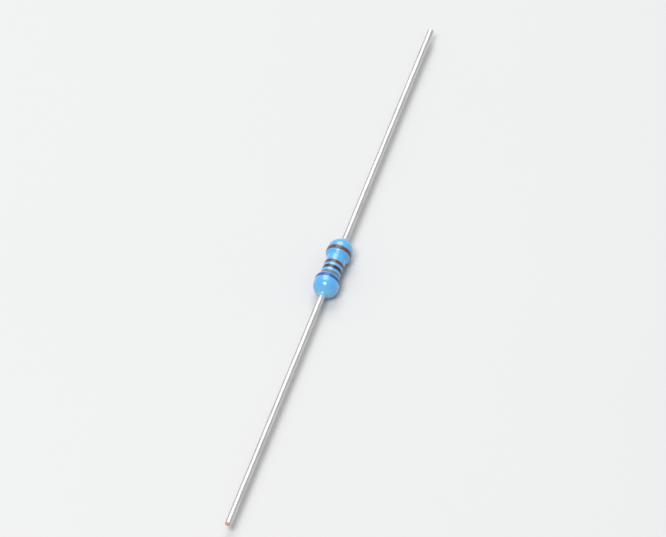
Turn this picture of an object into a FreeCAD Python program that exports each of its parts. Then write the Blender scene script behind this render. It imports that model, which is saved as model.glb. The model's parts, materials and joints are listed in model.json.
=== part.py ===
"""A quarter-watt metal film resistor with axial leads, built the way the real one is.

A ceramic rod carries a thin resistive film with a spiral groove ground through it. A drawn steel
cap is pressed over each end of the film, and a tinned wire is welded to the middle of each cap. A
lacquer coat covers all of it, bulging over the caps, and five rings of ink on the coat give the
value. Nothing moves.

The frame: the leads' common axis is X, the origin is the middle of the body on that axis, and +Z is
up. The first digit's ring is at the -X end. Lengths are in millimetres.
"""

import FreeCAD
import Part
import math
import os

V = FreeCAD.Vector

# The whole part
OVERALL_LENGTH = 62.5
LEAD_DIAMETER = 0.6
LEAD_TIP_ROUND = 0.06

# The rod and the film on it
ROD_LENGTH = 5.3
ROD_DIAMETER = 1.5
ROD_CHAMFER = 0.12
FILM_THICKNESS = 0.03
GROOVE_WIDTH = 0.15
GROOVE_PITCH = 0.44
GROOVE_TO_CAP = 0.25

# The caps pressed over the film, and the weld that holds each lead
CAP_DEPTH = 1.1
CAP_WALL = 0.18
CAP_BASE = 0.2
CAP_CORNER = 0.3
CAP_INNER_CORNER = 0.1
CAP_MOUTH_ROUND = 0.07
WELD_DIAMETER = 1.0
WELD_RIM = 0.07

# The lacquer coat: its thickness on each thing that it covers, and the radii of its outline
COAT_ON_FILM = 0.145
COAT_ON_CAP = 0.24
COAT_ON_CAP_END = 0.4
COAT_LIP = 0.03
END_RADIUS = 1.0
MENISCUS_RADIUS = 0.4
SHOULDER_SLOPE = math.radians(45)
SHOULDER_HOLLOW_SHARE = 0.4
CROWN_LENGTH = 0.54

# The ink rings. The first four are evenly spaced, and the tolerance ring stands apart from them. Their
# places are shares of the way from the origin to the coat's end, so they spread with the body.
INK_THICKNESS = 0.025
VALUE_RINGS = ["band_1_first_digit", "band_2_second_digit", "band_3_third_digit", "band_4_multiplier"]
VALUE_RING_WIDTH = 0.38
FIRST_RING_PLACE = -0.53
RING_SPACING = 0.2
TOLERANCE_RING = "band_5_tolerance"
TOLERANCE_RING_WIDTH = 0.42
TOLERANCE_RING_PLACE = 0.54

# What follows from those sizes
LEAD_R = LEAD_DIAMETER / 2
ROD_R = ROD_DIAMETER / 2
ROD_END = ROD_LENGTH / 2
FILM_R = ROD_R + FILM_THICKNESS
FILM_END = ROD_END - ROD_CHAMFER
CAP_R = FILM_R + CAP_WALL
CAP_MOUTH = ROD_END - CAP_DEPTH
CAP_END = ROD_END + CAP_BASE
GROOVE_LENGTH = 2 * (CAP_MOUTH - GROOVE_TO_CAP)
WELD_R = WELD_DIAMETER / 2
TIP_X = OVERALL_LENGTH / 2

WAIST_R = FILM_R + COAT_ON_FILM
CROWN_R = CAP_R + COAT_ON_CAP
COAT_END = CAP_END + COAT_ON_CAP_END
LIP_R = LEAD_R + COAT_LIP
END_CENTRE_X = COAT_END - END_RADIUS
END_CENTRE_R = CROWN_R - END_RADIUS
CROWN_START = END_CENTRE_X - CROWN_LENGTH
# Two arcs of these radii, one hollow and one round, climb from the waist to the crown.
SHOULDER_RADII = (CROWN_R - WAIST_R) / (1 - math.cos(SHOULDER_SLOPE))
HOLLOW_RADIUS = SHOULDER_HOLLOW_SHARE * SHOULDER_RADII
ROUND_RADIUS = SHOULDER_RADII - HOLLOW_RADIUS
WAIST_END = CROWN_START - SHOULDER_RADII * math.sin(SHOULDER_SLOPE)
# The meniscus arc touches the rounded end and runs out level along the lead.
MENISCUS_CENTRE_R = LIP_R + MENISCUS_RADIUS
MENISCUS_TURN = math.acos((MENISCUS_CENTRE_R - END_CENTRE_R) / (END_RADIUS + MENISCUS_RADIUS))
MENISCUS_END = END_CENTRE_X + (END_RADIUS + MENISCUS_RADIUS) * math.sin(MENISCUS_TURN)


def at(x, r):
    """A point of an outline, at x along the axis and r from it."""
    return V(x, 0, r)


def line(start, end):
    """A straight edge of an outline."""
    return Part.LineSegment(start, end).toShape()


def arc(centre_x, centre_r, radius, start, end):
    """An arc of an outline. Its angles are in radians, from straight out of the axis towards +X."""

    def point(turn):
        return at(centre_x + radius * math.sin(turn), centre_r + radius * math.cos(turn))

    return Part.Arc(point(start), point((start + end) / 2), point(end)).toShape()


def chain(*points):
    """Straight edges from each point to the next."""
    return [line(a, b) for a, b in zip(points, points[1:])]


def turned(edges):
    """The solid that a closed outline sweeps when it turns once about the axis."""
    face = Part.Face(Part.Wire(Part.__sortEdges__(edges)))
    return face.revolve(V(0, 0, 0), V(1, 0, 0), 360)


def mirrored(shape):
    """The same shape at the -X end."""
    return shape.mirror(V(0, 0, 0), V(1, 0, 0))


def cylinder(radius, start, end):
    """A plain cylinder about the axis."""
    return Part.makeCylinder(radius, end - start, V(start, 0, 0), V(1, 0, 0))


def ceramic_rod():
    """The rod, with a chamfer at each end that leads it into its cap."""
    flat_r = ROD_R - ROD_CHAMFER
    return turned(
        chain(
            at(-ROD_END, 0),
            at(-ROD_END, flat_r),
            at(-FILM_END, ROD_R),
            at(FILM_END, ROD_R),
            at(ROD_END, flat_r),
            at(ROD_END, 0),
            at(-ROD_END, 0),
        )
    )


def film_tube():
    """The film before its groove is ground."""
    return cylinder(FILM_R, -FILM_END, FILM_END).cut(cylinder(ROD_R, -FILM_END, FILM_END))


def groove_cut():
    """What the grinding wheel takes out of the film: a square-sided helix, deeper than the film."""
    length = GROOVE_LENGTH - GROOVE_WIDTH
    middle_r = ROD_R + FILM_THICKNESS / 2
    half_depth = FILM_THICKNESS
    half_width = GROOVE_WIDTH / 2
    corners = [
        V(middle_r + side * half_depth, 0, up * half_width)
        for side, up in ((-1, -1), (1, -1), (1, 1), (-1, 1), (-1, -1))
    ]
    path = Part.Wire(Part.makeHelix(GROOVE_PITCH, length, middle_r))
    sweep = path.makePipeShell([Part.makePolygon(corners)], True, True)
    sweep.rotate(V(0, 0, 0), V(0, 1, 0), 90)
    sweep.translate(V(-length / 2, 0, 0))
    return sweep


def end_cap():
    """The cap at the +X end: a drawn cup whose mouth faces the middle of the rod."""
    base_r = FILM_R - CAP_INNER_CORNER
    inside = chain(at(CAP_MOUTH, FILM_R), at(ROD_END - CAP_INNER_CORNER, FILM_R))
    inside.append(arc(ROD_END - CAP_INNER_CORNER, base_r, CAP_INNER_CORNER, 0, math.pi / 2))
    inside += chain(at(ROD_END, base_r), at(ROD_END, 0))
    return turned(inside + chain(at(ROD_END, 0), at(CAP_END, 0)) + cap_outside())


def cap_outside():
    """The outer edges of the +X cap's outline, from the middle of its base to its bore."""
    corner_x = CAP_END - CAP_CORNER
    corner_r = CAP_R - CAP_CORNER
    mouth_x = CAP_MOUTH + CAP_MOUTH_ROUND
    mouth_r = CAP_R - CAP_MOUTH_ROUND
    return [
        line(at(CAP_END, 0), at(CAP_END, corner_r)),
        arc(corner_x, corner_r, CAP_CORNER, math.pi / 2, 0),
        line(at(corner_x, CAP_R), at(mouth_x, CAP_R)),
        arc(mouth_x, mouth_r, CAP_MOUTH_ROUND, 0, -math.pi / 2),
        line(at(CAP_MOUTH, mouth_r), at(CAP_MOUTH, FILM_R)),
    ]


def lead():
    """The +X lead: a round wire whose inner end is upset against the cap by the weld."""
    rim_x = CAP_END + WELD_RIM
    neck_x = rim_x + WELD_R - LEAD_R
    tip_r = LEAD_R - LEAD_TIP_ROUND
    round_x = TIP_X - LEAD_TIP_ROUND
    edges = chain(at(TIP_X, 0), at(CAP_END, 0), at(CAP_END, WELD_R), at(rim_x, WELD_R))
    edges.append(arc(neck_x, WELD_R, WELD_R - LEAD_R, -math.pi / 2, -math.pi))
    edges += chain(at(neck_x, LEAD_R), at(round_x, LEAD_R))
    edges.append(arc(round_x, tip_r, LEAD_TIP_ROUND, 0, math.pi / 2))
    return turned(edges + chain(at(TIP_X, tip_r), at(TIP_X, 0)))


def coat_half_outline(skin):
    """The +X half of the coat's outline from waist to lead, grown outwards by skin."""
    slope = SHOULDER_SLOPE
    hollow_r = WAIST_R + HOLLOW_RADIUS
    round_r = CROWN_R - ROUND_RADIUS
    crown_r = CROWN_R + skin
    return [
        arc(WAIST_END, hollow_r, HOLLOW_RADIUS - skin, math.pi, math.pi - slope),
        arc(CROWN_START, round_r, ROUND_RADIUS + skin, -slope, 0),
        line(at(CROWN_START, crown_r), at(END_CENTRE_X, crown_r)),
        arc(END_CENTRE_X, END_CENTRE_R, END_RADIUS + skin, 0, MENISCUS_TURN),
        arc(
            MENISCUS_END,
            MENISCUS_CENTRE_R,
            MENISCUS_RADIUS - skin,
            math.pi + MENISCUS_TURN,
            math.pi,
        ),
        line(at(MENISCUS_END, LIP_R + skin), at(MENISCUS_END, 0)),
    ]


def coat_envelope(skin=0):
    """Everything inside the coat's outer surface, grown outwards by skin."""
    half = coat_half_outline(skin)
    waist_r = WAIST_R + skin
    joins = [
        line(at(-WAIST_END, waist_r), at(WAIST_END, waist_r)),
        line(at(-MENISCUS_END, 0), at(MENISCUS_END, 0)),
    ]
    return turned(half + [mirrored(edge) for edge in half] + joins)


def lacquer_coat(rib):
    """The coat: moulded to the caps, welds and film, with a rib that fills the film's groove."""
    cap_filled = turned(cap_outside() + chain(at(CAP_MOUTH, FILM_R), at(CAP_MOUTH, 0), at(CAP_END, 0)))
    covered = [cylinder(FILM_R, -ROD_END, ROD_END)]
    for piece in (cap_filled, lead()):
        covered += [piece, mirrored(piece)]
    return coat_envelope().cut(covered).fuse(rib)


def ink_ring(place, width, coat_solid, ink_solid):
    """A ring of ink on the coat, its middle at this share of the way from the origin to the coat's end."""
    middle = place * COAT_END
    blank = cylinder(CROWN_R + 2 * INK_THICKNESS, middle - width / 2, middle + width / 2)
    return blank.common(ink_solid).cut(coat_solid)


def ink_rings():
    """Every ring of ink, by name."""
    coat_solid = coat_envelope()
    ink_solid = coat_envelope(INK_THICKNESS)
    rings = {}
    for number, name in enumerate(VALUE_RINGS):
        place = FIRST_RING_PLACE + number * RING_SPACING
        rings[name] = ink_ring(place, VALUE_RING_WIDTH, coat_solid, ink_solid)
    rings[TOLERANCE_RING] = ink_ring(
        TOLERANCE_RING_PLACE, TOLERANCE_RING_WIDTH, coat_solid, ink_solid
    )
    return rings


def main():
    """Builds every piece and writes one STEP file for each."""
    tube = film_tube()
    groove = groove_cut()
    cap = end_cap()
    wire = lead()
    pieces = {
        "ceramic_rod": ceramic_rod(),
        "resistive_film": tube.cut(groove),
        "left_end_cap": mirrored(cap),
        "right_end_cap": cap,
        "left_lead": mirrored(wire),
        "right_lead": wire,
        "lacquer_coat": lacquer_coat(tube.common(groove)),
    }
    pieces.update(ink_rings())
    os.makedirs("parts", exist_ok=True)
    for name, shape in pieces.items():
        if shape.ShapeType != "Solid" and len(shape.Solids) == 1:
            shape = shape.Solids[0]
        print(f"{name}: {len(shape.Solids)} solid, {shape.Volume:.4f} mm3, valid {shape.isValid()}")
        shape.exportStep(f"parts/{name}.step")


main()
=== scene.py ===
"""The looks of a quarter-watt metal film resistor with axial leads.

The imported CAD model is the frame, and every place and radius that it holds is read from it. The
lacquer coat, the ink rings and the leads are made again here as finer meshes, with the slight
unevenness that dipping, printing and drawing leave on the real ones. The rod, the film and the end
caps keep their CAD meshes and get their own finishes.

Lengths are in millimetres until a finished mesh is scaled to metres. The leads' common axis is X,
the origin is the middle of the body, and +Z is up.
"""

from __future__ import annotations

import json
import logging
import math
from dataclasses import dataclass, field
from enum import Enum
from typing import Callable, Iterable, Mapping, Sequence, Union

import bmesh
import bpy
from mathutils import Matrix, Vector, noise

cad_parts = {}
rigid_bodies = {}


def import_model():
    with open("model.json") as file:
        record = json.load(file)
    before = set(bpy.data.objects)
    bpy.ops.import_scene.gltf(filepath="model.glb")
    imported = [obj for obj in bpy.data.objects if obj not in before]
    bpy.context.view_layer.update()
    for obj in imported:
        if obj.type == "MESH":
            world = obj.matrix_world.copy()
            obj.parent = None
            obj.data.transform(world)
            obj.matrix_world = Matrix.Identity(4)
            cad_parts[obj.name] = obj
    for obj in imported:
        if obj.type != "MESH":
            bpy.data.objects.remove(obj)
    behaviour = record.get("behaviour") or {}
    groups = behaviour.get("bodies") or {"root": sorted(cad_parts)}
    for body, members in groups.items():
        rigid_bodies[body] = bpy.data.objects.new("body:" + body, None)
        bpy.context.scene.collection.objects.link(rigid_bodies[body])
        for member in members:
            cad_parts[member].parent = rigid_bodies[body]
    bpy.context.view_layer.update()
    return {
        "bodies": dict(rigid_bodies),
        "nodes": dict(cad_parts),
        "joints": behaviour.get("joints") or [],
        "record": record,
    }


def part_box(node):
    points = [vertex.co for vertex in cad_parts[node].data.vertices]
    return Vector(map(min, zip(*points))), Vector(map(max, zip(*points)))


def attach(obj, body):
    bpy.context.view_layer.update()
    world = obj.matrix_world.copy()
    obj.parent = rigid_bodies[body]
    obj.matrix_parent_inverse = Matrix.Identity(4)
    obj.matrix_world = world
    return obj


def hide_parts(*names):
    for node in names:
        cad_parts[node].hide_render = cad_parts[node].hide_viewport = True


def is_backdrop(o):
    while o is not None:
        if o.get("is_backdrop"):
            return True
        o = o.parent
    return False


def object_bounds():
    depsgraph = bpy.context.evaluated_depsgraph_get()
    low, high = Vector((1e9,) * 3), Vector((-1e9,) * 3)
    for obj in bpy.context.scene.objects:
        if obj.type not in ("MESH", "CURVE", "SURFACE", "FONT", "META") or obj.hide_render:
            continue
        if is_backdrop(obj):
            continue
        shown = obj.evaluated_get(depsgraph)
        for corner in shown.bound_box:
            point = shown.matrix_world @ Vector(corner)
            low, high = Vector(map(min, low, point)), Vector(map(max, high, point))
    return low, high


Colour = tuple[float, float, float]
Span = tuple[float, float]
Input = Union["Field", float, Sequence[float]]

MM = 0.001
ROOT = "root"
ARC_STEP = math.radians(5)
FEWEST_ARC_STEPS = 2
MERGE_DISTANCE = 1e-5
FULL_TURN = 2 * math.pi
SHARP_ANGLE = math.radians(35)
LACQUER_BLUE: Colour = (0.10, 0.41, 0.765)

log = logging.getLogger("resistor")


class End(Enum):
    """The two ends of the part. The value is the end's direction along X."""

    LEFT = -1
    RIGHT = 1


# Shader nodes


@dataclass(frozen=True)
class Grain:
    """A soft noise of a finish.

    per_mm is how many of its lumps there are in a millimetre. span is where it steps from 0 to 1, and
    None leaves it plain. stretch has a factor for each axis, under 1 where the lumps are long. detail
    is the number of finer layers, and rough is how strong each of them is.
    """

    per_mm: float
    span: Span | None = None
    stretch: tuple[float, float, float] = (1.0, 1.0, 1.0)
    detail: float = 2.0
    rough: float = 0.5


@dataclass(frozen=True)
class Specks:
    """Scattered round specks: how many cells are in a millimetre, and a speck's share of its cell."""

    per_mm: float
    size: float


class Field:
    """A value or colour that changes over a surface: the output of a shader node."""

    def __init__(self, graph: Graph, socket: bpy.types.NodeSocket) -> None:
        """Wraps an output socket of the graph."""
        self.graph = graph
        self.socket = socket

    def _math(self, operation: str, first: Input, second: Input) -> Field:
        """Adds a Math node on two values."""
        return self.graph.add("ShaderNodeMath", {"operation": operation}, {0: first, 1: second})

    def __add__(self, other: Input) -> Field:
        """The sum."""
        return self._math("ADD", self, other)

    def __radd__(self, other: Input) -> Field:
        """The sum, with the field on the right."""
        return self._math("ADD", other, self)

    def __sub__(self, other: Input) -> Field:
        """The difference."""
        return self._math("SUBTRACT", self, other)

    def __rsub__(self, other: Input) -> Field:
        """The difference, with the field on the right."""
        return self._math("SUBTRACT", other, self)

    def __mul__(self, other: Input) -> Field:
        """The product."""
        return self._math("MULTIPLY", self, other)

    def __rmul__(self, other: Input) -> Field:
        """The product, with the field on the right."""
        return self._math("MULTIPLY", other, self)

    def __abs__(self) -> Field:
        """The size without its sign."""
        return self._math("ABSOLUTE", self, 0.0)

    def rise(self, low: float, high: float) -> Field:
        """A smooth step from 0 at low to 1 at high.

        Args:
            low: The value below which the result is 0.
            high: The value above which the result is 1.

        Returns:
            The step, as a field from 0 to 1.
        """
        sockets = {"Value": self, "From Min": low, "From Max": high}
        return self.graph.add("ShaderNodeMapRange", {"interpolation_type": "SMOOTHSTEP"}, sockets)


class Graph:
    """The node tree of one material, with its shader ready to be fed."""

    def __init__(self, name: str) -> None:
        """Makes an empty material with one Principled shader.

        Args:
            name: The material's name.
        """
        self.material = bpy.data.materials.new(name)
        self.material.use_nodes = True
        self.tree = self.material.node_tree
        self.tree.nodes.clear()
        self.shader = self.tree.nodes.new("ShaderNodeBsdfPrincipled")
        output = self.tree.nodes.new("ShaderNodeOutputMaterial")
        self.tree.links.new(self.shader.outputs["BSDF"], output.inputs["Surface"])

    def add(
        self,
        kind: str,
        settings: Mapping[str, object],
        sockets: Mapping[Union[str, int], Input],
        output: Union[str, int] = 0,
    ) -> Field:
        """Adds a node, sets it up and feeds its sockets.

        Args:
            kind: The node's type.
            settings: The node's own properties.
            sockets: The values or fields for the node's inputs, by name or number.
            output: The output that is returned, by name or number.

        Returns:
            The output as a field.
        """
        node = self.tree.nodes.new(kind)
        for key, value in settings.items():
            setattr(node, key, value)
        for key, value in sockets.items():
            self.feed(node.inputs[key], value)
        return Field(self, node.outputs[output])

    def feed(self, socket: bpy.types.NodeSocket, value: Input) -> None:
        """Links a field to an input, or sets the input's own value.

        Args:
            socket: The input.
            value: The field, number, vector or colour.
        """
        if isinstance(value, Field):
            self.tree.links.new(value.socket, socket)
        elif isinstance(value, (int, float)):
            socket.default_value = value
        else:
            socket.default_value = (*value, 1.0)[: len(socket.default_value)]

    def dress(self, values: Mapping[str, Input]) -> bpy.types.Material:
        """Feeds the shader.

        Args:
            values: The values or fields for the shader's inputs, by name.

        Returns:
            The finished material.
        """
        for name, value in values.items():
            self.feed(self.shader.inputs[name], value)
        return self.material

    def place(self, stretch: Sequence[float] = (1.0, 1.0, 1.0)) -> Field:
        """The point on the piece, in millimetres.

        Args:
            stretch: A factor for each axis.

        Returns:
            The point as a field.
        """
        point = self.add("ShaderNodeTexCoord", {}, {}, "Object")
        scale = [factor / MM for factor in stretch]
        return self.add("ShaderNodeVectorMath", {"operation": "MULTIPLY"}, {0: point, 1: scale})

    def along(self) -> Field:
        """The place along the leads' axis, in millimetres."""
        return self.add("ShaderNodeSeparateXYZ", {}, {"Vector": self.place()}, "X")

    def facing_end(self) -> Field:
        """How squarely the surface faces along the leads' axis, from 0 to 1."""
        normal = self.add("ShaderNodeTexCoord", {}, {}, "Normal")
        return abs(self.add("ShaderNodeSeparateXYZ", {}, {"Vector": normal}, "X"))

    def radius(self) -> Field:
        """The distance from the leads' axis, in millimetres."""
        point = self.place((0.0, 1.0, 1.0))
        return self.add("ShaderNodeVectorMath", {"operation": "LENGTH"}, {0: point}, "Value")

    def grain(self, grain: Grain) -> Field:
        """Soft noise from 0 to 1.

        Args:
            grain: The noise, with its span if it has one.

        Returns:
            The noise as a field.
        """
        sockets = {
            "Vector": self.place(grain.stretch),
            "Scale": grain.per_mm,
            "Detail": grain.detail,
            "Roughness": grain.rough,
        }
        plain = self.add("ShaderNodeTexNoise", {}, sockets)
        return plain.rise(*grain.span) if grain.span else plain

    def specks(self, specks: Specks) -> Field:
        """Scattered specks: 1 in the middle of each, and 0 between them.

        Args:
            specks: How dense and how large they are.

        Returns:
            The specks as a field.
        """
        sockets = {"Vector": self.place(), "Scale": specks.per_mm, "Randomness": 1.0}
        away = self.add("ShaderNodeTexVoronoi", {}, sockets, "Distance")
        return 1.0 - away.rise(0.0, specks.size)

    def mix(self, share: Input, first: Input, second: Input) -> Field:
        """A colour between two, first where share is 0 and second where it is 1."""
        sockets = {0: share, 6: first, 7: second}
        return self.add("ShaderNodeMix", {"data_type": "RGBA"}, sockets, 2)

    def relief(self, height: Field, depth: float) -> Field:
        """A surface normal from a height.

        Args:
            height: The height, from 0 to 1.
            depth: How many millimetres high 1 is.

        Returns:
            The normal.
        """
        sockets = {"Height": height, "Strength": 1.0, "Distance": depth * MM}
        return self.add("ShaderNodeBump", {}, sockets)


# Finishes


@dataclass(frozen=True)
class Lacquer:
    """The light blue lacquer of the coat, semi-gloss with a fine orange peel.

    The spans are in millimetres past the lip. Over pale_span the lacquer pales, and over bare_span it
    thins out to the lead's grey.
    """

    lip: float
    colour: Colour = LACQUER_BLUE
    thin_colour: Colour = (0.175, 0.50, 0.745)
    deep_colour: Colour = (0.072, 0.34, 0.69)
    lead_colour: Colour = (0.34, 0.42, 0.47)
    cloud: Grain = Grain(1.1, (0.32, 0.68), detail=3.0)
    cloud_share: float = 0.55
    pigment: Grain = Grain(9.0, (0.3, 0.75))
    pigment_share: float = 0.25
    pale_span: Span = (-0.84, -0.14)
    pale_share: float = 0.65
    bare_span: Span = (-0.175, 0.07)
    bare_share: float = 0.6
    peel: Grain = Grain(3.2, detail=1.5, rough=0.45)
    dust: Specks = Specks(1.4, 0.055)
    dust_height: float = 0.5
    relief_depth: float = 0.012
    wear: Grain = Grain(2.1, detail=4.0, rough=0.6)
    roughness: float = 0.18
    worn_roughness: float = 0.16
    refraction: float = 1.54
    gloss: float = 0.8
    worn_gloss: float = 0.3
    gloss_roughness: float = 0.05
    gloss_refraction: float = 1.5

    def material(self) -> bpy.types.Material:
        """Builds the material.

        Returns:
            The material, which pales and thins out towards the lip.
        """
        graph = Graph("blue_lacquer")
        deep = graph.grain(self.cloud) * self.cloud_share + graph.grain(self.pigment) * self.pigment_share
        body = graph.mix(deep, self.colour, self.deep_colour)
        past_lip = abs(graph.along()) - self.lip
        paler = graph.mix(past_lip.rise(*self.pale_span) * self.pale_share, body, self.thin_colour)
        bare = past_lip.rise(*self.bare_span) * self.bare_share
        height = graph.grain(self.peel) + graph.specks(self.dust) * self.dust_height
        wear = graph.grain(self.wear)
        return graph.dress(
            {
                "Base Color": graph.mix(bare, paler, self.lead_colour),
                "Roughness": self.roughness + wear * self.worn_roughness,
                "IOR": self.refraction,
                "Coat Weight": self.gloss - wear * self.worn_gloss,
                "Coat Roughness": self.gloss_roughness,
                "Coat IOR": self.gloss_refraction,
                "Normal": graph.relief(height, self.relief_depth),
            }
        )


@dataclass(frozen=True)
class Ink:
    """One ring's printed ink, a little thin in places, so that the lacquer shows through."""

    name: str
    colour: Colour
    under_colour: Colour = LACQUER_BLUE
    translucency: float = 0.02
    pores: Grain = Grain(16.0, (0.6, 0.82), detail=3.0, rough=0.65)
    pore_translucency: float = 0.2
    pore_height: float = 0.4
    streaks: Grain = Grain(5.0, (0.5, 0.8), stretch=(3.0, 0.6, 0.6))
    streak_share: float = 0.6
    streak_gain: float = 1.3
    streak_lift: float = 0.004
    print_grain: Grain = Grain(12.0, detail=3.0)
    relief_depth: float = 0.004
    wear: Grain = Grain(3.0, detail=4.0, rough=0.6)
    roughness: float = 0.3
    worn_roughness: float = 0.2
    refraction: float = 1.5
    gloss: float = 0.3
    streak_gloss: float = 0.1
    gloss_roughness: float = 0.12

    def material(self) -> bpy.types.Material:
        """Builds the material.

        Returns:
            The material, in the ink's own colour.
        """
        graph = Graph(self.name)
        pores = graph.grain(self.pores)
        streaks = graph.grain(self.streaks)
        lighter = tuple(min(1.0, self.streak_gain * part + self.streak_lift) for part in self.colour)
        inked = graph.mix(streaks * self.streak_share, self.colour, lighter)
        see_through = self.translucency + pores * self.pore_translucency
        height = graph.grain(self.print_grain) + pores * self.pore_height
        return graph.dress(
            {
                "Base Color": graph.mix(see_through, inked, self.under_colour),
                "Roughness": self.roughness + graph.grain(self.wear) * self.worn_roughness,
                "IOR": self.refraction,
                "Coat Weight": self.gloss + streaks * self.streak_gloss,
                "Coat Roughness": self.gloss_roughness,
                "Normal": graph.relief(height, self.relief_depth),
            }
        )


@dataclass(frozen=True)
class TinnedWire:
    """Hot-tinned copper wire: bright, with fine drawing lines, dull patches and copper at the cut.

    The cut face is where the surface faces the end as squarely as face_turn and lies in face_span, in
    millimetres past the tip. Its copper core ends at core_radius, within core_edge, and tin is smeared
    over parts of it. A film of lacquer lies in spots on the first film_length past the coat's lip.
    """

    tip: float
    lip: float
    tin: Colour = (0.74, 0.73, 0.705)
    dull_tin: Colour = (0.54, 0.53, 0.51)
    copper: Colour = (0.80, 0.42, 0.26)
    lacquer: Colour = (0.10, 0.33, 0.66)
    lines: Grain = Grain(26.0, stretch=(0.012, 1.0, 1.0), detail=3.0, rough=0.6)
    dull_lines: Span = (0.45, 0.7)
    line_share: float = 0.25
    patches: Grain = Grain(1.2, (0.42, 0.72), stretch=(0.35, 1.0, 1.0), detail=4.0, rough=0.6)
    patch_share: float = 0.55
    face_turn: Span = (0.8, 0.95)
    face_span: Span = (-0.15, -0.1)
    core_radius: float = 0.27
    core_edge: Span = (-0.02, 0.01)
    smear: Grain = Grain(7.0, (0.52, 0.66), stretch=(1.0, 0.3, 2.5), detail=3.0)
    smear_share: float = 0.75
    film_length: float = 0.7
    film_spots: Grain = Grain(4.0, (0.5, 0.62), stretch=(0.5, 1.0, 1.0), detail=3.0)
    film_share: float = 0.7
    film_dulling: float = 0.9
    roughness: float = 0.35
    patch_roughness: float = 0.12
    line_roughness: float = 0.1
    cut_roughness: float = 0.1
    line_height: float = 0.6
    dents: Grain = Grain(2.6, stretch=(0.4, 1.0, 1.0))
    dent_height: float = 0.9
    relief_depth: float = 0.006

    def material(self) -> bpy.types.Material:
        """Builds the material.

        Returns:
            The material, with a trace of lacquer beside the lip and copper in the cut end.
        """
        graph = Graph("tinned_wire")
        lines = graph.grain(self.lines)
        patches = graph.grain(self.patches)
        dull = patches * self.patch_share + lines.rise(*self.dull_lines) * self.line_share
        surface = graph.mix(dull, self.tin, self.dull_tin)
        away = abs(graph.along())
        face = graph.facing_end().rise(*self.face_turn) * (away - self.tip).rise(*self.face_span)
        core = 1.0 - (graph.radius() - self.core_radius).rise(*self.core_edge)
        cut = face * core * (1.0 - graph.grain(self.smear) * self.smear_share)
        with_copper = graph.mix(cut, surface, self.copper)
        near_lip = 1.0 - (away - self.lip).rise(0.0, self.film_length)
        film = near_lip * graph.grain(self.film_spots) * self.film_share
        height = lines * self.line_height + graph.grain(self.dents) * self.dent_height
        rougher = patches * self.patch_roughness + lines * self.line_roughness + cut * self.cut_roughness
        return graph.dress(
            {
                "Base Color": graph.mix(film, with_copper, self.lacquer),
                "Metallic": 1.0 - film * self.film_dulling,
                "Roughness": self.roughness + rougher,
                "Normal": graph.relief(height, self.relief_depth),
            }
        )


@dataclass(frozen=True)
class FiredCeramic:
    """The matt white alumina of the rod, with fine grain and a few darker specks."""

    white: Colour = (0.86, 0.85, 0.81)
    warm: Colour = (0.74, 0.71, 0.64)
    grain: Grain = Grain(14.0, detail=4.0, rough=0.6)
    warm_grain: Span = (0.4, 0.8)
    grain_share: float = 0.5
    specks: Specks = Specks(6.0, 0.16)
    speck_share: float = 0.4
    roughness: float = 0.62
    grain_roughness: float = 0.2
    relief_depth: float = 0.008

    def material(self) -> bpy.types.Material:
        """Builds the material.

        Returns:
            The material.
        """
        graph = Graph("alumina")
        grain = graph.grain(self.grain)
        warmer = grain.rise(*self.warm_grain) * self.grain_share
        warmer += graph.specks(self.specks) * self.speck_share
        return graph.dress(
            {
                "Base Color": graph.mix(warmer, self.white, self.warm),
                "Roughness": self.roughness + grain * self.grain_roughness,
                "Normal": graph.relief(grain, self.relief_depth),
            }
        )


@dataclass(frozen=True)
class MetalFilm:
    """The nickel-chromium film on the rod: satin grey, clouded with brown, with turning marks."""

    grey: Colour = (0.40, 0.37, 0.34)
    brown: Colour = (0.30, 0.25, 0.21)
    cloud: Grain = Grain(2.4, (0.35, 0.7), detail=3.0)
    marks: Grain = Grain(40.0, stretch=(1.0, 0.05, 0.05), detail=1.0)
    metallic: float = 0.85
    roughness: float = 0.3
    mark_roughness: float = 0.25
    relief_depth: float = 0.002

    def material(self) -> bpy.types.Material:
        """Builds the material.

        Returns:
            The material.
        """
        graph = Graph("nickel_chromium_film")
        marks = graph.grain(self.marks)
        return graph.dress(
            {
                "Base Color": graph.mix(graph.grain(self.cloud), self.grey, self.brown),
                "Metallic": self.metallic,
                "Roughness": self.roughness + marks * self.mark_roughness,
                "Normal": graph.relief(marks, self.relief_depth),
            }
        )


@dataclass(frozen=True)
class PlatedCap:
    """The tin-plated steel of the end caps, with rings from the drawing die and a few dull patches."""

    bright: Colour = (0.74, 0.73, 0.70)
    dark: Colour = (0.52, 0.51, 0.49)
    rings: Grain = Grain(22.0, stretch=(1.0, 0.04, 0.04))
    patches: Grain = Grain(2.0, (0.45, 0.75), detail=4.0, rough=0.6)
    patch_share: float = 0.6
    roughness: float = 0.24
    ring_roughness: float = 0.15
    patch_roughness: float = 0.12
    relief_depth: float = 0.003

    def material(self) -> bpy.types.Material:
        """Builds the material.

        Returns:
            The material.
        """
        graph = Graph("plated_steel_cap")
        rings = graph.grain(self.rings)
        patches = graph.grain(self.patches)
        rougher = rings * self.ring_roughness + patches * self.patch_roughness
        return graph.dress(
            {
                "Base Color": graph.mix(patches * self.patch_share, self.bright, self.dark),
                "Metallic": 1.0,
                "Roughness": self.roughness + rougher,
                "Normal": graph.relief(rings, self.relief_depth),
            }
        )


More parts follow.
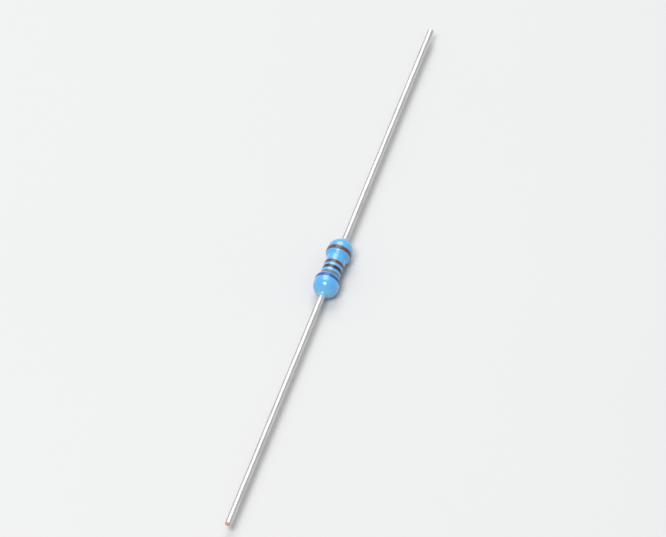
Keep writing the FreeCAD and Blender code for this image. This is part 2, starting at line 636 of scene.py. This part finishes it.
@dataclass(frozen=True)
class StudioFloor:
    """The plain pale floor, matt, with a very faint paper-like tone."""

    colour: Colour = (0.62, 0.62, 0.615)
    tone: Grain = Grain(0.02)
    tone_gain: float = 1.02
    roughness: float = 0.7
    shine: float = 0.2

    def material(self) -> bpy.types.Material:
        """Builds the material.

        Returns:
            The material.
        """
        graph = Graph("studio_floor")
        lighter = tuple(self.tone_gain * part for part in self.colour)
        return graph.dress(
            {
                "Base Color": graph.mix(graph.grain(self.tone), self.colour, lighter),
                "Roughness": self.roughness,
                "Specular IOR Level": self.shine,
            }
        )


# Turned shapes


@dataclass(frozen=True)
class Arc:
    """A round stretch of a section. Its angles run from straight out of the axis towards +X."""

    centre_x: float
    centre_r: float
    radius: float
    start: float
    end: float

    def point(self, turn: float) -> tuple[float, float]:
        """The point of the arc at an angle.

        Args:
            turn: The angle.

        Returns:
            The point's x and r.
        """
        x = self.centre_x + self.radius * math.sin(turn)
        return x, self.centre_r + self.radius * math.cos(turn)

    def points(self) -> list[tuple[float, float]]:
        """Divides the arc evenly.

        Returns:
            Its (x, r) points from the start to the end.
        """
        steps = max(FEWEST_ARC_STEPS, math.ceil(abs(self.end - self.start) / ARC_STEP))
        return [self.point(self.start + (self.end - self.start) * i / steps) for i in range(steps + 1)]

    def height(self, x: float) -> float:
        """The height of the arc over the axis, on the side where the arc lies.

        Args:
            x: The place along the axis.

        Returns:
            The r of the arc there.
        """
        side = math.copysign(1.0, math.cos((self.start + self.end) / 2))
        rise = math.sqrt(max(0.0, self.radius**2 - (x - self.centre_x) ** 2))
        return self.centre_r + side * rise


@dataclass
class Section:
    """The section of a turned piece, built point by point in its half plane."""

    points: list[tuple[float, float]] = field(default_factory=list)

    def to(self, x: float, r: float, step: float = 0.0) -> Section:
        """Runs straight to a point.

        Args:
            x: The point's place along the axis.
            r: The point's distance from it.
            step: The longest piece that the run is divided into, or 0 for an undivided run.

        Returns:
            The section itself.
        """
        if self.points and step:
            x0, r0 = self.points[-1]
            count = math.ceil(math.hypot(x - x0, r - r0) / step)
            self.points += [(x0 + (x - x0) * i / count, r0 + (r - r0) * i / count) for i in range(1, count)]
        self.points.append((x, r))
        return self

    def along(self, arc: Arc) -> Section:
        """Follows an arc from its start to its end."""
        self.points += arc.points()
        return self

    def back(self, arc: Arc) -> Section:
        """Follows an arc from its end to its start."""
        self.points += reversed(arc.points())
        return self

    def turned(self, segments: int, closed: bool) -> bmesh.types.BMesh:
        """Turns the section once about the axis.

        Args:
            segments: How many steps make the full turn.
            closed: True where the section's last point joins its first, as on a ring.

        Returns:
            The shape, with its poles merged and its faces pointing outwards.
        """
        shape = bmesh.new()
        corners = [shape.verts.new((x, 0.0, r)) for x, r in self.points]
        pairs = list(zip(corners, corners[1:]))
        if closed:
            pairs.append((corners[-1], corners[0]))
        edges = [
            shape.edges.new(pair) for pair in pairs if (pair[0].co - pair[1].co).length > MERGE_DISTANCE
        ]
        bmesh.ops.spin(
            shape,
            geom=[*corners, *edges],
            cent=(0.0, 0.0, 0.0),
            axis=(1.0, 0.0, 0.0),
            angle=FULL_TURN,
            steps=segments,
            use_merge=True,
            use_duplicate=False,
        )
        bmesh.ops.remove_doubles(shape, verts=shape.verts, dist=MERGE_DISTANCE)
        bmesh.ops.recalc_face_normals(shape, faces=shape.faces)
        return shape


def wrap_point(point: Vector) -> tuple[float, float, float]:
    """A point's place along the axis, its distance from it, and its angle round it."""
    return point.x, math.hypot(point.y, point.z), math.atan2(point.y, point.z)


def unwrap_point(x: float, r: float, angle: float) -> Vector:
    """The point at a place along the axis, a distance from it and an angle round it."""
    return Vector((x, r * math.sin(angle), r * math.cos(angle)))


def reshape(shape: bmesh.types.BMesh, move: Callable[[float, float, float], tuple[float, float]]) -> None:
    """Moves a turned shape's points within their half planes.

    Args:
        shape: The shape.
        move: Takes a point's x, r and angle, and gives its new x and r.
    """
    for vertex in shape.verts:
        x, r, angle = wrap_point(vertex.co)
        new_x, new_r = move(x, r, angle)
        vertex.co = unwrap_point(new_x, new_r, angle)


@dataclass(frozen=True)
class Wobble:
    """Smooth unevenness, from about -1 to 1, that closes on itself round the axis.

    per_mm is how fast it changes along the axis, and round_turn how fast it changes round it. seed picks
    one of many such patterns.
    """

    per_mm: float
    round_turn: float
    seed: float

    def at(self, x: float, angle: float) -> float:
        """Reads the pattern.

        Args:
            x: The place along the axis.
            angle: The angle round it.

        Returns:
            The unevenness there.
        """
        along = x * self.per_mm + self.seed
        across = self.round_turn * math.cos(angle)
        up = self.round_turn * math.sin(angle) + self.seed
        return 2.0 * noise.noise(Vector((along, across, up)))


def finish_piece(shape: bmesh.types.BMesh, name: str, material: bpy.types.Material) -> bpy.types.Object:
    """Makes a shape an object of the part.

    Args:
        shape: The shape in millimetres, which is freed.
        name: The piece's name.
        material: Its finish.

    Returns:
        The object, which rides on the part's one body.
    """
    bmesh.ops.scale(shape, vec=(MM, MM, MM), verts=shape.verts)
    mesh = bpy.data.meshes.new(name)
    for face in shape.faces:
        face.smooth = True
    shape.to_mesh(mesh)
    shape.free()
    mesh.set_sharp_from_angle(angle=SHARP_ANGLE)
    mesh.materials.append(material)
    piece = bpy.data.objects.new(name, mesh)
    bpy.context.scene.collection.objects.link(piece)
    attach(piece, ROOT)
    log.info("%s: %d faces", name, len(mesh.polygons))
    return piece


def reach(node: str) -> tuple[float, float, float]:
    """Reads the size of a turned CAD node.

    Args:
        node: The node's name.

    Returns:
        Its lowest x, highest x and radius, in millimetres.
    """
    low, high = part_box(node)
    return low.x / MM, high.x / MM, high.z / MM


# The coat


@dataclass
class LacquerCoat:
    """The coat: its outline over the caps and the film, and the inner walls moulded to them.

    The outer surface sags towards heavy_angle, swells slowly and ripples, and grows calm over the last
    calm_length before each lip. The lip creeps along the lead and thins out to a feather's edge, and
    its inner edge dips as far under the lead's surface. Points within outer_skin of the outline are on
    the outer surface, and those past lip_share of the meniscus are on the lip.
    """

    lead_radius: float
    lip_thickness: float = 0.03
    end_radius: float = 1.0
    meniscus_radius: float = 0.4
    shoulder_slope: float = math.radians(45)
    hollow_share: float = 0.4
    crown_length: float = 0.54
    cap_corner: float = 0.3
    cap_mouth_round: float = 0.07
    weld_rim: float = 0.07
    run_step: float = 0.12
    segments: int = 160
    sag: float = 0.012
    heavy_angle: float = math.radians(140)
    heavy_twist: float = 0.25
    swell: float = 0.013
    swelling: Wobble = Wobble(per_mm=0.55, round_turn=0.8, seed=3.7)
    ripple: float = 0.004
    rippling: Wobble = Wobble(per_mm=2.2, round_turn=2.6, seed=11.3)
    calm_length: float = 1.2
    creep: float = 0.07
    creeping: Wobble = Wobble(per_mm=1.0, round_turn=1.1, seed=8.1)
    creep_place: float = 4.0
    feather: float = 0.008
    outer_skin: float = 0.01
    lip_share: float = 0.999

    def __post_init__(self) -> None:
        """Works out the arcs of the +X half from the frame."""
        _, self.lip_x, self.crown_r = reach("lacquer_coat")
        _, _, self.film_r = reach("resistive_film")
        self.cap_mouth, self.cap_end, self.cap_r = reach("right_end_cap")
        _, _, self.weld_r = reach("right_lead")
        _, _, ink_r = reach("band_5_tolerance")
        _, _, waist_ink_r = reach("band_3_third_digit")
        self.waist_r = waist_ink_r - (ink_r - self.crown_r)
        radii = self.end_radius + self.meniscus_radius
        lip_r = self.lead_radius + self.lip_thickness
        end_centre_r = self.crown_r - self.end_radius
        turn = math.acos((lip_r + self.meniscus_radius - end_centre_r) / radii)
        end_x = self.lip_x - radii * math.sin(turn)
        crown_x = end_x - self.crown_length
        shoulder = (self.crown_r - self.waist_r) / (1 - math.cos(self.shoulder_slope))
        hollow = self.hollow_share * shoulder
        waist_x = crown_x - shoulder * math.sin(self.shoulder_slope)
        slope = self.shoulder_slope
        self.waist_x = waist_x
        self.outline = [
            Arc(waist_x, self.waist_r + hollow, hollow, math.pi, math.pi - slope),
            Arc(crown_x, self.crown_r - shoulder + hollow, shoulder - hollow, -slope, 0.0),
            Arc(end_x, end_centre_r, self.end_radius, 0.0, turn),
            Arc(
                self.lip_x,
                lip_r + self.meniscus_radius,
                self.meniscus_radius,
                math.pi + turn,
                math.pi,
            ),
        ]

    def height(self, x: float) -> float:
        """The plain outline's radius, before any unevenness.

        Args:
            x: The place along the axis.

        Returns:
            The coat's radius there.
        """
        away = min(abs(x), self.lip_x)
        if away <= self.waist_x:
            return self.waist_r
        for arc in self.outline:
            low, high = sorted((arc.point(arc.start)[0], arc.point(arc.end)[0]))
            if low <= away <= high:
                return arc.height(away)
        return self.crown_r

    def unevenness(self, x: float, angle: float) -> float:
        """How far the coat stands proud of its plain outline.

        Args:
            x: The place along the axis.
            angle: The angle round it.

        Returns:
            The distance in millimetres, below 0 where the coat is thin.
        """
        fade = min(1.0, max(0.0, (self.lip_x - abs(x)) / self.calm_length))
        sag = self.sag * math.cos(angle - self.heavy_angle + self.heavy_twist * x)
        swell = self.swell * self.swelling.at(x, angle)
        ripple = self.ripple * self.rippling.at(x, angle)
        return fade * (sag + swell + ripple)

    def _half(self) -> list[tuple[float, float]]:
        """Draws the +X half of the section.

        Returns:
            The (x, r) points from the middle of the waist to the lip and back inside.
        """
        hollow, shoulder, end, meniscus = self.outline
        section = Section().to(0.0, self.waist_r).to(self.waist_x, self.waist_r, self.run_step)
        section.along(hollow).along(shoulder)
        section.to(end.centre_x, self.crown_r, self.run_step).along(end).along(meniscus)
        neck = self.weld_r - self.lead_radius
        rim_x = self.cap_end + self.weld_rim
        section.to(self.lip_x, self.lead_radius).to(rim_x + neck, self.lead_radius)
        section.back(Arc(rim_x + neck, self.weld_r, neck, -math.pi / 2, -math.pi))
        section.to(self.cap_end, self.weld_r)
        corner = self.cap_corner
        section.back(Arc(self.cap_end - corner, self.cap_r - corner, corner, 0.0, math.pi / 2))
        mouth = self.cap_mouth_round
        section.along(Arc(self.cap_mouth + mouth, self.cap_r - mouth, mouth, 0.0, -math.pi / 2))
        section.to(self.cap_mouth, self.film_r).to(0.0, self.film_r)
        return section.points

    def _uneven(self, x: float, r: float, angle: float) -> tuple[float, float]:
        """Moves a point of the plain shell. The outer surface and the lip move, the inner walls don't.

        Args:
            x: The point's place along the axis.
            r: Its distance from the axis.
            angle: Its angle round the axis.

        Returns:
            Its new x and r.
        """
        to_lip = max(0.0, 1 - (self.lip_x - abs(x)) / self.meniscus_radius)
        run = self.creep * to_lip**2 * self.creeping.at(math.copysign(self.creep_place, x), angle)
        moved_x = x + math.copysign(run, x)
        if r > self.height(x) - self.outer_skin:
            thinner = (self.lip_thickness - self.feather) * to_lip**3
            return moved_x, r + self.unevenness(x, angle) - thinner
        if to_lip > self.lip_share:
            return moved_x, r - self.feather
        return x, r

    def build(self, finish: Lacquer) -> bpy.types.Object:
        """Makes the coat.

        Args:
            finish: Its lacquer.

        Returns:
            The coat's object, which stands for the CAD coat.
        """
        half = self._half()
        other = [(-x, r) for x, r in reversed(half)]
        shape = Section(half + other).turned(self.segments, closed=True)
        reshape(shape, self._uneven)
        coat = finish_piece(shape, "coat_of_lacquer", finish.material())
        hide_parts("lacquer_coat")
        return coat


# The ink rings


@dataclass
class InkRing:
    """A printed ring of ink that follows the coat, with soft raised edges and a printing seam.

    Its top is flat_share of the thickness, with a bead bead_share higher along each rounded edge. The
    two edges wander and tremble apart, and at the seam the ink is seam_lift thicker and a little wider.
    """

    node: str
    coat: LacquerCoat
    seed: float
    thickness: float = 0.012
    sunk: float = 0.008
    edge_round: float = 0.04
    flat_share: float = 0.85
    bead_share: float = 0.2
    edge_wander: float = 0.022
    wander_turn: float = 1.1
    edge_tremble: float = 0.007
    tremble_turn: float = 6.0
    tremble_seed: float = 2.5
    far_edge_seed: float = 5.0
    seam_angle: float = math.radians(-150)
    seam_width: float = math.radians(9)
    seam_lift: float = 0.008
    seam_spread: float = 0.02
    segments: int = 192
    steps: int = 18

    def _section(self, width: float) -> Section:
        """Draws the ring's section, laid flat.

        Args:
            width: The ring's width.

        Returns:
            The section, across the width and with its height over the coat added to 1.
        """
        section = Section()
        half = width / 2
        section.to(-half, 1.0 - self.sunk)
        for i in range(self.steps + 1):
            across = -1 + 2 * i / self.steps
            eased = math.sin(across * math.pi / 2)
            inside = (1 - abs(eased)) * half
            rise = math.sqrt(1 - (1 - min(1.0, inside / self.edge_round)) ** 2)
            bead = self.bead_share * math.exp(-(((inside - self.edge_round) / self.edge_round) ** 2))
            section.to(eased * half, 1.0 + self.thickness * rise * (self.flat_share + bead))
        section.to(half, 1.0 - self.sunk)
        return section

    def build(self, finish: Ink, slot: str) -> bpy.types.Object:
        """Makes the ring.

        Args:
            finish: Its ink.
            slot: The record's material slot that the ink comes from. It is not used.

        Returns:
            The ring's object, which stands for the CAD ring.
        """
        low, high, _ = reach(self.node)
        middle = (low + high) / 2
        half = (high - low) / 2

        def lay(across: float, lifted: float, angle: float) -> tuple[float, float]:
            """Puts a point of the flat ring on the coat.

            Args:
                across: The point's place across the ring.
                lifted: Its height over the coat, added to 1.
                angle: Its angle round the axis.

            Returns:
                Its x and r.
            """
            share = across / half
            side = self.seed + (self.far_edge_seed if share > 0 else 0.0)
            edge = self.edge_wander * Wobble(1.0, self.wander_turn, side).at(0.0, angle)
            trembling = Wobble(1.0, self.tremble_turn, side + self.tremble_seed)
            edge += self.edge_tremble * trembling.at(0.0, angle)
            off_seam = (angle - self.seam_angle + math.pi) % FULL_TURN - math.pi
            seam = math.exp(-((off_seam / self.seam_width) ** 2))
            x = middle + across + edge * abs(share) ** 3 + self.seam_spread * seam * share
            height = (lifted - 1.0) * (1 + self.seam_lift / self.thickness * seam)
            return x, self.coat.height(x) + self.coat.unevenness(x, angle) + height

        shape = self._section(high - low).turned(self.segments, closed=True)
        reshape(shape, lay)
        bmesh.ops.recalc_face_normals(shape, faces=shape.faces)
        ring = finish_piece(shape, f"ink_{self.node}", finish.material())
        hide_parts(self.node)
        return ring


# The leads


@dataclass
class Lead:
    """A lead: the wire, its welded head inside the coat, and its sheared tip."""

    end: End
    radius: float
    weld_rim: float = 0.07
    tip_round: float = 0.05
    step: float = 0.3
    segments: int = 64
    face_rings: int = 4
    unevenness: float = 0.0035
    lumps_per_mm: float = 0.7
    lumps_round_turn: float = 0.9
    middle_seed: float = 20.0
    seed_step: float = 10.0
    shear_reach: float = 0.15
    shear_tilt: float = 0.035
    burr: float = 0.012

    def build(self, material: bpy.types.Material) -> bpy.types.Object:
        """Makes the lead.

        Args:
            material: Its tinned finish.

        Returns:
            The lead's object, which stands for the CAD lead.
        """
        node = f"{self.end.name.lower()}_lead"
        root_x, tip_x, weld_r = reach("right_lead")
        neck = weld_r - self.radius
        rim_x = root_x + self.weld_rim
        section = Section().to(root_x, 0.0).to(root_x, weld_r).to(rim_x, weld_r)
        section.along(Arc(rim_x + neck, weld_r, neck, -math.pi / 2, -math.pi))
        section.to(tip_x - self.tip_round, self.radius, self.step)
        tip = Arc(tip_x - self.tip_round, self.radius - self.tip_round, self.tip_round, 0.0, math.pi / 2)
        section.along(tip)
        for ring in reversed(range(self.face_rings)):
            section.to(tip_x, (self.radius - self.tip_round) * ring / self.face_rings)
        shape = section.turned(self.segments, closed=False)
        seed = self.middle_seed + self.seed_step * self.end.value
        lumps = Wobble(self.lumps_per_mm, self.lumps_round_turn, seed)

        def wear(x: float, r: float, angle: float) -> tuple[float, float]:
            """Adds the drawn wire's unevenness, and tilts and burrs the sheared tip.

            Args:
                x: The point's place along the axis.
                r: Its distance from the axis.
                angle: Its angle round the axis.

            Returns:
                Its new x and r.
            """
            if x < rim_x + neck:
                return x, r
            out = r / self.radius
            lump = self.unevenness * lumps.at(x, angle) * out
            near_tip = max(0.0, 1 - (tip_x - x) / self.shear_reach)
            burr_side = math.cos(angle - seed)
            tilt = -self.shear_tilt * near_tip * (1 - out * burr_side) / 2
            burr = self.burr * near_tip**2 * max(0.0, burr_side) ** 3 * out**4
            return x + tilt, r + lump + burr

        reshape(shape, wear)
        if self.end is End.LEFT:
            bmesh.ops.scale(shape, vec=(-1.0, 1.0, 1.0), verts=shape.verts)
        bmesh.ops.recalc_face_normals(shape, faces=shape.faces)
        lead = finish_piece(shape, f"tinned_{node}", material)
        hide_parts(node)
        return lead


# The part


class BandInk(Enum):
    """The ring inks, by the record's slot name. The value is the ink's colour."""

    brown_ink = (0.12, 0.036, 0.013)
    black_ink = (0.012, 0.012, 0.014)
    blue_ink = (0.006, 0.070, 0.32)
    grey_ink = (0.14, 0.14, 0.155)


@dataclass
class Resistor:
    """The whole part: the coat, five ink rings, two leads and the CAD pieces inside the coat."""

    frame: Mapping[str, object]
    ring_seed_step: float = 3.0

    def build(self) -> None:
        """Makes and dresses every piece."""
        mounts = {mount["name"]: mount for mount in self.frame["record"]["mounts"]}
        lead_radius = mounts["right_lead"]["dims"]["r_mm"]
        coat = LacquerCoat(lead_radius)
        coat.build(Lacquer(coat.lip_x))
        self._print_rings(coat)
        _, tip_x, _ = reach("right_lead")
        wire = TinnedWire(tip_x, coat.lip_x).material()
        for end in End:
            Lead(end, lead_radius).build(wire)
        self._dress_core()

    def _print_rings(self, coat: LacquerCoat) -> None:
        """Makes a ring for each CAD band, with the ink of the band's own slot.

        Args:
            coat: The coat that the rings are printed on.
        """
        slots = {part["node"]: part["material_slot"] for part in self.frame["record"]["subparts"]}
        bands = sorted(node for node in slots if node.startswith("band_"))
        for number, node in enumerate(bands):
            ink = BandInk[slots[node]]
            ring = InkRing(node, coat, seed=self.ring_seed_step * number)
            ring.build(Ink(ink.name, ink.value), ink.name)

    def _dress_core(self) -> None:
        """Gives the CAD pieces inside the coat their finishes."""
        finishes = {
            "ceramic_rod": FiredCeramic(),
            "resistive_film": MetalFilm(),
            "left_end_cap": PlatedCap(),
            "right_end_cap": PlatedCap(),
        }
        for node, finish in finishes.items():
            piece = self.frame["nodes"][node]
            piece.data.materials.clear()
            piece.data.materials.append(finish.material())
            log.info("%s: dressed as %s", node, type(finish).__name__)


# The studio


@dataclass(frozen=True)
class SquareLamp:
    """A square lamp that faces the part. Its place and size are in metres, and its power in watts."""

    name: str
    place: tuple[float, float, float]
    size: float
    power: float
    tint: Colour

    def build(self) -> None:
        """Makes the lamp."""
        light = bpy.data.lights.new(self.name, "AREA")
        light.shape = "SQUARE"
        light.size = self.size
        light.energy = self.power
        light.color = self.tint
        holder = bpy.data.objects.new(self.name, light)
        holder.location = self.place
        holder.rotation_mode = "QUATERNION"
        holder.rotation_quaternion = (-Vector(self.place)).to_track_quat("-Z", "Y")
        bpy.context.scene.collection.objects.link(holder)


@dataclass
class Studio:
    """The floor, the lights and the camera.

    Lengths are in metres, apart from the lens's, which is in millimetres. low and high are the part's
    corners, margin is the height of the view against the part's, and frame_aspect is the picture's
    width against its height.
    """

    low: Vector
    high: Vector
    floor_radius: float = 3.0
    floor_segments: int = 96
    key: SquareLamp = SquareLamp("key_light", (-0.20, 0.06, 0.45), 0.20, 1.5, (1.0, 0.985, 0.96))
    back: SquareLamp = SquareLamp("back_light", (0.30, 0.10, 0.40), 0.32, 1.3, (0.98, 0.985, 1.0))
    sky_colour: Colour = (0.93, 0.96, 1.0)
    sky_strength: float = 0.55
    azimuth: float = math.radians(-72.5)
    elevation: float = math.radians(50)
    lens: float = 300.0
    frame_aspect: float = 1.2402
    margin: float = 1.09
    clip_factor: float = 100.0

    def build(self) -> None:
        """Makes the floor, the lights and the camera."""
        self._floor()
        self._lights()
        self._camera()

    def _floor(self) -> None:
        """A wide disc that the part lies on."""
        disc = bmesh.new()
        bmesh.ops.create_circle(
            disc, cap_ends=True, radius=self.floor_radius, segments=self.floor_segments
        )
        bmesh.ops.translate(disc, vec=(0.0, 0.0, self.low.z), verts=disc.verts)
        mesh = bpy.data.meshes.new("studio_floor")
        disc.to_mesh(mesh)
        disc.free()
        mesh.materials.append(StudioFloor().material())
        floor = bpy.data.objects.new("studio_floor", mesh)
        bpy.context.scene.collection.objects.link(floor)
        floor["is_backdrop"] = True

    def _lights(self) -> None:
        """A key light on the camera's side, a wide back light for the leads and an even sky."""
        self.key.build()
        self.back.build()
        world = bpy.data.worlds.new("studio_sky")
        world.use_nodes = True
        background = world.node_tree.nodes["Background"]
        background.inputs["Color"].default_value = (*self.sky_colour, 1.0)
        background.inputs["Strength"].default_value = self.sky_strength
        bpy.context.scene.world = world

    def _camera(self) -> None:
        """A long lens that takes in the whole part, with the part's length up the frame."""
        camera = bpy.data.cameras.new("camera")
        camera.lens = self.lens
        holder = bpy.data.objects.new("camera", camera)
        azimuth, elevation = self.azimuth, self.elevation
        back = Vector(
            (
                math.sin(azimuth) * math.cos(elevation),
                -math.cos(azimuth) * math.cos(elevation),
                math.sin(elevation),
            )
        )
        middle = (self.low + self.high) / 2
        up_share = abs(math.sin(azimuth) * math.sin(elevation))
        seen_height = (self.high.x - self.low.x) * up_share * self.margin
        frame_height = camera.sensor_width / self.frame_aspect
        distance = seen_height * camera.lens / frame_height
        holder.location = middle + back * distance
        holder.rotation_mode = "QUATERNION"
        holder.rotation_quaternion = (-back).to_track_quat("-Z", "Y")
        camera.clip_start = distance / self.clip_factor
        camera.clip_end = distance * self.clip_factor
        bpy.context.scene.collection.objects.link(holder)
        bpy.context.scene.camera = holder


def main() -> None:
    """Loads the frame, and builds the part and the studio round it."""
    logging.basicConfig(level=logging.INFO, format="%(name)s: %(message)s")
    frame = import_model()
    Resistor(frame).build()
    bpy.context.view_layer.update()
    Studio(*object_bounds()).build()
    bpy.context.scene.view_settings.view_transform = "Standard"


if __name__ == "__main__":
    main()
